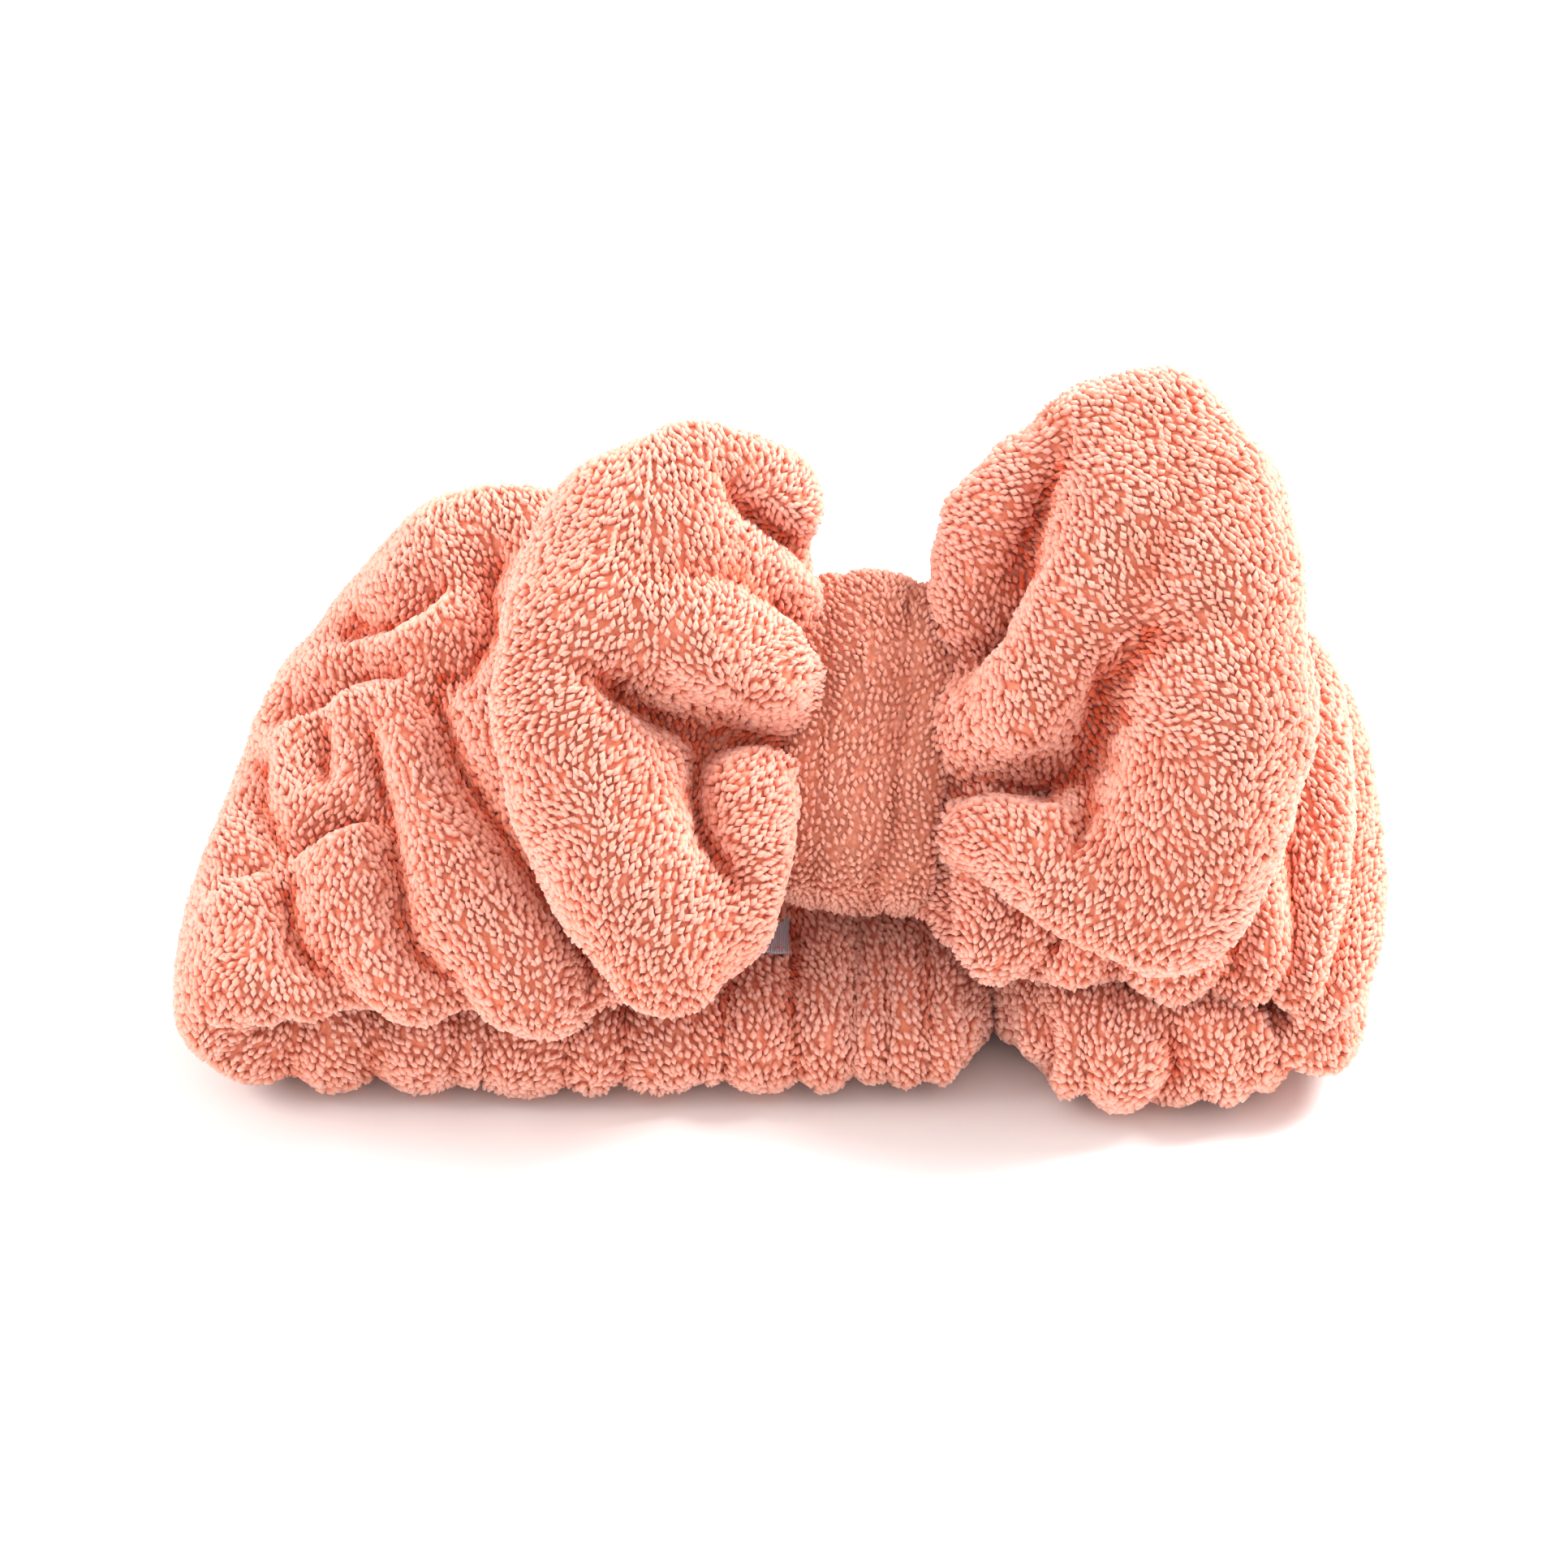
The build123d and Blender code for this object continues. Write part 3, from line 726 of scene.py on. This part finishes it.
def tuft_tree():
    """Scatters tufts that lean along the surface's pile value and are shaded by its shade value."""
    tree = bpy.data.node_groups.new("tufts", "GeometryNodeTree")
    for name, kind in (("Geometry", "Geometry"), ("Tuft", "Object"), ("Spacing", "Float"),
                       ("Height", "Float"), ("Width", "Float"), ("Material", "Material")):
        tree.interface.new_socket(name, in_out="INPUT", socket_type=f"NodeSocket{kind}")
    tree.interface.new_socket("Geometry", in_out="OUTPUT", socket_type="NodeSocketGeometry")
    given = node(tree, "NodeGroupInput").outputs
    stored = {}
    for name in ("cover", "pile", "shade", "tint", "rise"):
        kind = {"data_type": "FLOAT_VECTOR" if name == "pile" else "FLOAT"}
        stored[name] = node(tree, "GeometryNodeInputNamedAttribute", kind, Name=name).outputs["Attribute"]
    scatter = node(
        tree, "GeometryNodeDistributePointsOnFaces", {"distribute_method": "POISSON"},
        Mesh=given["Geometry"], Distance_Min=given["Spacing"], Density_Max=1.6e6,
        Density_Factor=stored["cover"], Seed=4,
    )
    ruffle = node(
        tree, "FunctionNodeRandomValue", {"data_type": "FLOAT_VECTOR"},
        i0=(-0.35,) * 3, i1=(0.35,) * 3, Seed=7,
    )
    add = {"operation": "ADD"}
    lean = node(tree, "ShaderNodeVectorMath", add, i0=stored["pile"], i1=ruffle.outputs[0]).outputs[0]
    up = node(tree, "ShaderNodeVectorMath", add, i0=scatter.outputs["Normal"], i1=lean).outputs[0]
    upright = node(tree, "FunctionNodeAlignRotationToVector", {"axis": "Z"}, Vector=up)
    turned = node(
        tree, "FunctionNodeAlignRotationToVector", {"axis": "X", "pivot_axis": "Z"},
        Rotation=upright.outputs[0], Vector=lean,
    )
    # Each tuft is longer along its lean than across it
    shares = {"X": ("Width", 1.35, 2.1, 8), "Y": ("Width", 0.75, 1.05, 9), "Z": ("Height", 0.8, 1.2, 10)}
    sizes = {}
    for axis, (name, low, high, seed) in shares.items():
        share = node(tree, "FunctionNodeRandomValue", {"data_type": "FLOAT"}, i2=low, i3=high, Seed=seed)
        size = node(tree, "ShaderNodeMath", {"operation": "MULTIPLY"}, i0=given[name], i1=share.outputs[1])
        sizes[axis] = size.outputs[0]
    scale = node(tree, "ShaderNodeCombineXYZ", **sizes)
    bud = node(tree, "GeometryNodeObjectInfo", Object=given["Tuft"])
    rise = node(tree, "ShaderNodeSeparateXYZ", Vector=node(tree, "GeometryNodeInputPosition").outputs[0])
    kept = node(
        tree, "GeometryNodeStoreNamedAttribute", {"data_type": "FLOAT", "domain": "POINT"},
        Geometry=bud.outputs["Geometry"], Name="rise", Value=rise.outputs["Z"],
    )
    placed = node(
        tree, "GeometryNodeInstanceOnPoints", Points=scatter.outputs["Points"],
        Instance=kept.outputs[0], Rotation=turned.outputs[0], Scale=scale.outputs[0],
    )
    # Each tuft's colour value: the surface's random tone and painted crease shade, spread a little at random
    wander = node(tree, "FunctionNodeRandomValue", {"data_type": "FLOAT"}, i2=-0.16, i3=0.16, Seed=12)
    tint = node(tree, "ShaderNodeMath", add, i0=stored["shade"], i1=wander.outputs[1])
    shaded = node(
        tree, "GeometryNodeStoreNamedAttribute", {"data_type": "FLOAT", "domain": "INSTANCE"},
        Geometry=placed.outputs[0], Name="tint", Value=tint.outputs[0],
    )
    real = node(tree, "GeometryNodeRealizeInstances", Geometry=shaded.outputs[0])
    place = node(tree, "ShaderNodeCombineXYZ", X=stored["tint"], Y=stored["rise"])
    mapped = node(
        tree, "GeometryNodeStoreNamedAttribute", {"data_type": "FLOAT2", "domain": "CORNER"},
        Geometry=real.outputs[0], Name="OFBake",
    )
    tree.links.new(place.outputs[0], next(s for s in mapped.inputs if s.name == "Value" and s.enabled))
    dressed = node(tree, "GeometryNodeSetMaterial", Geometry=mapped.outputs[0], Material=given["Material"])
    tree.links.new(dressed.outputs[0], node(tree, "NodeGroupOutput").inputs[0])
    return tree


TUFTS = tuft_tree()


def add_tufts(base, name, material, spacing=TUFT_SPACING, height=TUFT_HEIGHT, width=TUFT_WIDTH):
    """A plain mesh of tufts over base, which gives up its cover, pile and shade values."""
    modifier = base.modifiers.new("tufts", "NODES")
    modifier.node_group = TUFTS
    given = {
        "Tuft": TUFT, "Spacing": spacing / 1000, "Height": height / 1000, "Width": width / 1000,
        "Material": material,
    }
    for item in TUFTS.interface.items_tree:
        if item.in_out == "INPUT" and item.name in given:
            modifier[item.identifier] = given[item.name]
    base.update_tag()
    graph = bpy.context.evaluated_depsgraph_get()
    graph.update()
    mesh = bpy.data.meshes.new_from_object(base.evaluated_get(graph))
    base.modifiers.remove(modifier)
    for extra in ("rise", "tint", "cover", "shade", "pile"):
        for holder in (mesh, base.data):
            if extra in holder.attributes:
                holder.attributes.remove(holder.attributes[extra])
    mesh.name = name
    mesh.materials.clear()
    mesh.materials.append(material)
    mesh.polygons.foreach_set("material_index", [0] * len(mesh.polygons))
    mesh.polygons.foreach_set("use_smooth", [True] * len(mesh.polygons))
    obj = in_scene(name, mesh)
    points = points_of(obj)
    points[:, 2] = np.maximum(points[:, 2], FLOOR_GAP)  # pile under the band is pressed flat
    set_points(obj, points)
    return obj


def hollowness(obj, rounds=10):
    """How far each point lies below its neighbourhood, in millimetres: above nought in creases."""
    before, normals = points_of(obj), normals_of(obj)
    relax(obj, rounds, 1.0)
    sunk = np.sum((points_of(obj) - before) * normals, axis=1)
    set_points(obj, before)
    return sunk


def prepare_pile(obj, direction, cover=None):
    """Stores what the tufts read: where they stand, which way they lean and how deep their colour is, from
    random tone and painted shade in the creases.
    """
    points, normals = points_of(obj), normals_of(obj)
    swirl = np.stack([lattice_noise(points, 16, k) for k in (41, 42, 43)], axis=1)
    lean = direction + 0.8 * swirl
    lean -= normals * np.sum(lean * normals, axis=1, keepdims=True)
    lean *= PILE_LEAN / np.maximum(np.linalg.norm(lean, axis=1, keepdims=True), 1e-6)
    store(obj, "pile", lean)
    # Random tone, darkened where the surface lies below its neighbourhood: painted shade in the creases
    shade = 0.6 + 0.14 * lattice_noise(points, 9, 51) - 0.8 * np.clip(hollowness(obj), -0.3, 1.0)
    store(obj, "shade", np.clip(shade, 0.1, 0.9))
    store(obj, "cover", np.ones(len(points)) if cover is None else cover)


# ---------------------------------------------------------------- build: materials
# Coral pile: pale peach at the tips, a painted highlight where light catches them; strong orange at the feet,
# painted shade between the tufts
pile = pile_material(
    "coral_fleece_pile",
    [(0.0, "EF9373"), (0.4, "F4A68D"), (0.8, "F9BFAD"), (1.0, "FBCFC1")],
    [(0.0, "E38A64"), (0.42, "FDEBE2"), (1.0, "FFFFFF")],
)
# The knot's pile is crushed flat and looks browner and duller; its darker colours are partly that and partly
# painted shade, since the knot sits in shade
crushed_shaded_pile = pile_material(
    "crushed_fleece_pile",
    [(0.0, "DB866A"), (0.5, "EBA289"), (1.0, "F4BEAC")],
    [(0.0, "E8BDAE"), (0.5, "F9EBE5"), (1.0, "FFFFFF")],
)
# Knitted backing seen between tufts, painted deeper than the pile as shade between the tufts
backing = backing_material("coral_fleece_backing", "EE906F", "F5AA91", 1.5)
crushed_shaded_backing = backing_material("crushed_fleece_backing", "D78367", "E79F88", 1.2)
# Woven elastic, off-white with ribs along it
elastic_weave = ribbed_material("woven_elastic", "CFC8BA", "F1ECE2", 1.1, "Y")
# Loose polyester filling, off-white
wadding_fill = backing_material("polyester_wadding", "DAD8D2", "F4F3EF", 4.0)
# Sewing thread dyed to match the fleece, with a slight twist
coral_thread = ribbed_material("polyester_thread", "D8795C", "F1A188", 0.5, "DIAGONAL")
# Label tape, plain and pale lilac
label_tape = ribbed_material("woven_label_tape", "CFC6D6", "E6DFEA", 0.4, "X")


# ---------------------------------------------------------------- build: pieces
def dress(obj, material):
    """Gives an object its one material."""
    obj.data.materials.clear()
    obj.data.materials.append(material)
    return obj


def blend_sleeve(obj):
    """Bakes one half's piece into its points, with no placement of its own."""
    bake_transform(obj)


def split_pieces(obj, name, count, material):
    """Cuts a mesh of tufts into count pieces along X, each under the triangle limit."""
    per_tuft = len(TUFT.data.vertices)
    x = points_of(obj)[::per_tuft, 0]
    edges = np.quantile(x, np.linspace(0, 1, count + 1))
    group = np.clip(np.searchsorted(edges, x, side="right") - 1, 0, count - 1)
    pieces = []
    for k in range(count):
        work = bmesh.new()
        work.from_mesh(obj.data)
        work.verts.ensure_lookup_table()
        drop = [v for v in work.verts if group[v.index // per_tuft] != k]
        bmesh.ops.delete(work, geom=drop, context="VERTS")
        part = bpy.data.meshes.new(f"{name}_{k + 1}")
        work.to_mesh(part)
        work.free()
        part.materials.append(material)
        pieces.append(in_scene(part.name, part))
    bpy.data.objects.remove(obj)
    return pieces


def sharpen_rims(obj, columns, outer_count):
    """Keeps the rims' shading apart from the walls', so that no line shows where the two halves meet."""
    row = (edges_of(obj) % outer_count) // columns
    ends = (row == 0) | (row == outer_count // columns - 1)
    sharp = obj.data.attributes.new("sharp_edge", "BOOLEAN", "EDGE")
    sharp.data.foreach_set("value", ends.all(axis=1))


def make_sleeve():
    """The sleeve's two halves, each with its pile, which stops at the table and inside the knot."""
    halves, columns = sleeve_halves()
    for half, walls, faces, outer_count in halves:
        obj = dress(mesh_object(half, walls, faces), backing)
        facing_out(obj)
        sharpen_rims(obj, columns, outer_count)
        points, normals = points_of(obj), normals_of(obj)
        cover = np.zeros(len(points))
        cover[:outer_count] = 1.0
        under = (normals[:, 2] < -0.75) & (points[:, 2] < 3.0)
        cover[under] = 0.0
        inside_knot = np.abs(points[:, 0] - KNOT[0]) < 9
        cover[inside_knot & (points[:, 2] > 25)] = 0.0
        prepare_pile(obj, np.array([0.15, -0.7, -0.6]), cover)
        tufts = add_tufts(obj, f"{half}_pile", pile)
        pieces = split_pieces(tufts, f"{half}_pile", PILE_PIECES, pile)
        for piece in (obj, *pieces):
            blend_sleeve(piece)
        side = half.split("_")[1]
        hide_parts(f"sleeve_front_{side}", f"sleeve_rear_{side}", f"sleeve_{side}_bend")


def make_lobe(side, shape, body):
    """A lobe's padded cover with its pile, wadding and seam."""
    vertices, faces = sampled(shape)
    obj = dress(mesh_object(f"{side}_lobe", from_bow(vertices), faces), backing)
    relax(obj, 2)
    local = to_bow(points_of(obj))
    held = np.clip(1 - (np.abs(local[:, 0] - 0.5) - 12) / 8, 0, 1)
    puff(obj, held)
    facing_out(obj)
    outward = -1.0 if side == "left" else 1.0
    direction = from_bow([outward * 0.3, -0.6, 0.0]) - KNOT
    local = to_bow(points_of(obj))
    cover = ((np.abs(local[:, 0] - 0.5) > 11) | (np.abs(local[:, 2]) > 12)).astype(float)
    prepare_pile(obj, direction, cover)
    tufts = add_tufts(obj, f"{side}_lobe_pile", pile)
    vertices, faces = sampled(shape, inset=5.0, step=3.5)
    wadding = dress(mesh_object(f"{side}_wadding", from_bow(vertices), faces), wadding_fill)
    facing_out(wadding)
    for piece, slot in ((obj, "fleece"), (tufts, "fleece"), (wadding, "wadding")):
        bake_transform(piece)
    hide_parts(f"{side}_lobe_cover")
    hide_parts(f"{side}_lobe_wadding")
    make_lobe_seam(side, obj, body)


def make_wrap():
    """The knot's wrap and its short crushed pile."""
    points, faces = wrap_shell()
    obj = dress(mesh_object("knot_wrap_cloth", from_bow(points), faces), crushed_shaded_backing)
    facing_out(obj)
    direction = from_bow([0.0, -0.8, 0.0]) - KNOT
    prepare_pile(obj, direction)
    tufts = add_tufts(obj, "knot_wrap_pile", crushed_shaded_pile, 1.0, 1.25, 1.05)
    for piece in (obj, tufts):
        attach(piece, "bow_centre")
    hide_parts("knot_wrap", "bow_waist")


def stitches_on(name, points, directions, body, length=3.4, width=0.7):
    """A row of short thread stitches, as one piece: a rounded bar at each point, along its direction."""
    vertices, faces = [], []
    turns = [2 * pi * i / STITCH_SIDES for i in range(STITCH_SIDES)]
    for point, along in zip(points, directions):
        along = along / np.linalg.norm(along)
        side = np.cross(along, (0.13, 0.35, 0.93))
        side /= np.linalg.norm(side)
        other = np.cross(along, side)
        first = len(vertices)
        for place, radius in ((-0.5, 0.2), (-0.38, 0.5), (0.38, 0.5), (0.5, 0.2)):
            centre = point + along * length * place
            vertices += [centre + radius * width * (cos(t) * side + sin(t) * other) for t in turns]
        for start in range(first, first + 3 * STITCH_SIDES, STITCH_SIDES):
            for i in range(STITCH_SIDES):
                a, b = start + i, start + (i + 1) % STITCH_SIDES
                faces.append((a, b, b + STITCH_SIDES, a + STITCH_SIDES))
        faces += [tuple(end + i for i in range(STITCH_SIDES)) for end in (first, first + 3 * STITCH_SIDES)]
    obj = dress(mesh_object(name, vertices, faces), coral_thread)
    facing_out(obj)
    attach(obj, body)
    return obj


def make_lobe_seam(side, cover, body):
    """The seam that closes a lobe runs down its outer side; its stitches are sunk in the pile."""
    local = to_bow(points_of(cover))
    outward = -1.0 if side == "left" else 1.0
    rim = []
    for w in np.arange(-30.0, 32.0, STITCH_PITCH):
        near = np.flatnonzero(np.abs(local[:, 1] - w) < 1.5)
        x, _, n = local[near[np.argmax(outward * local[near, 0])]]
        rim.append((x + outward * 0.5, w, n))
    rim = np.array(rim)
    rim[1:-1] = (rim[:-2] + rim[1:-1] + rim[2:]) / 3
    places = from_bow(rim)
    obj = stitches_on(f"{side}_lobe_seam", places, np.gradient(places, axis=0), body)
    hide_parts(f"{side}_lobe_stitches")


def make_label():
    """A small blank woven tape that lies on the rear half's inner face, sewn at both ends."""
    low, high = (np.array(corner) * 1000 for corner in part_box("care_label"))
    across, along, lift, half = 9, 11, 2.4, 0.25

    def height(x, y):
        return low[2] + lift + 0.5 * np.sin((x - low[0]) * 0.5) - 0.004 * (y - low[1]) ** 2

    axes = np.linspace(low[0], high[0], across), np.linspace(low[1], high[1], along)
    x, y = pairs_of(*axes)
    top, bottom = (np.stack([x, y, height(x, y) + side], axis=1) for side in (half, -half))
    faces, count = [], across * along
    for i in range(across - 1):
        for j in range(along - 1):
            a = i * along + j
            quad = (a, a + along, a + along + 1, a + 1)
            faces += [quad, tuple(v + count for v in reversed(quad))]
    edge = [i * along for i in range(across)] + [(across - 1) * along + j for j in range(1, along)]
    edge += [i * along + along - 1 for i in range(across - 2, -1, -1)] + list(range(along - 2, 0, -1))
    faces += [(a, b, b + count, a + count) for a, b in zip(edge, edge[1:] + edge[:1])]
    obj = dress(mesh_object("blank_label", np.concatenate([top, bottom]), faces), label_tape)
    facing_out(obj)
    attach(obj, "rear_band")
    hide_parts("care_label")
    columns = np.arange(low[0] + 1.5, high[0], 2.6)
    row = np.array([(u, v) for v in (low[1] + 1.2, high[1] - 1.2) for u in columns])
    places = np.column_stack([row, height(*row.T) + 0.35])
    along_ring = np.tile([1.0, 0.0, 0.0], (len(row), 1))
    seam = stitches_on("label_seam", places, along_ring, "rear_band", length=1.8, width=0.35)
    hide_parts("label_stitches")


def make_elastic():
    """The elastic's ribbon, midway between the sleeve's walls."""
    a, b = ELASTIC[0] / 2, ELASTIC[1] / 2
    for side, low, high in (("left", 0.0, KNOT_STATION), ("right", KNOT_STATION, len(STATIONS))):
        at = np.linspace(low, high, 220)
        centre = (sleeve_point(at, -1.0) + sleeve_point(at, 1.0)) / 2
        across = sleeve_point(at, 1.0) - sleeve_point(at, -1.0)
        across /= np.linalg.norm(across, axis=1, keepdims=True)
        normal = sleeve_point(at, 0.0) - centre
        normal /= np.linalg.norm(normal, axis=1, keepdims=True)
        corners = [(-a, -b), (a, -b), (a, b), (-a, b)]
        points = np.stack([centre + u * across + v * normal for u, v in corners], axis=1).reshape(-1, 3)
        count = len(at)
        faces = [
            (4 * r + c, 4 * r + (c + 1) % 4, 4 * (r + 1) + (c + 1) % 4, 4 * (r + 1) + c)
            for r in range(count - 1) for c in range(4)
        ]
        faces += [(3, 2, 1, 0), tuple(4 * (count - 1) + c for c in range(4))]
        obj = dress(mesh_object(f"elastic_{side}", points, faces, smooth=False), elastic_weave)
        facing_out(obj)
        blend_sleeve(obj)
        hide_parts(f"elastic_front_{side}", f"elastic_rear_{side}", f"elastic_{side}_bend")


def area_light(name, place, target, size, power):
    """A white square light at place, in metres, that faces target."""
    light = bpy.data.lights.new(name, "AREA")
    light.size, light.energy = size, power
    obj = in_scene(name, light)
    obj.location = place
    obj.rotation_euler = (Vector(target) - Vector(place)).to_track_quat("-Z", "Y").to_euler()


def make_stage():
    """A white table, an even white surround, soft lights and the camera."""
    size = 3000
    corners = [(-size, -size, 0), (size, -size, 0), (size, size, 0), (-size, size, 0)]
    floor = mesh_object("floor", corners, [(0, 1, 2, 3)])
    dress(floor, new_material("white_table", 0.9, Base_Color=colour("F8F6F5"))[0])
    world = bpy.data.worlds.new("studio")
    world.use_nodes = True
    background = world.node_tree.nodes["Background"].inputs
    background["Color"].default_value = (1.0, 1.0, 1.0, 1.0)
    background["Strength"].default_value = 1.0
    bpy.context.scene.world = world
    area_light("key", (0.6, 0.28, 0.75), (0, 0, 0.04), 0.5, 16)
    area_light("fill", (-0.8, -0.1, 0.5), (0, 0, 0.04), 0.5, 5)
    target, distance, rise = Vector((0.0001, 0.0109, 0.042)), 0.68, radians(32)
    camera = in_scene("camera", bpy.data.cameras.new("camera"))
    camera.data.lens, camera.data.sensor_width = 85, 36
    camera.location = target + distance * Vector((0, -cos(rise), sin(rise)))
    camera.rotation_euler = (target - camera.location).to_track_quat("-Z", "Y").to_euler()
    bpy.context.scene.camera = camera
    bpy.context.scene.view_settings.view_transform = "Standard"
    return floor


floor = make_stage()
make_sleeve()
make_lobe("left", LEFT_LOBE, "left_lobe")
make_lobe("right", RIGHT_LOBE, "right_lobe")
make_wrap()
make_elastic()
make_label()
for name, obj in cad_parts.items():
    if "stitches" in name or "thread" in name:
        dress(obj, coral_thread)
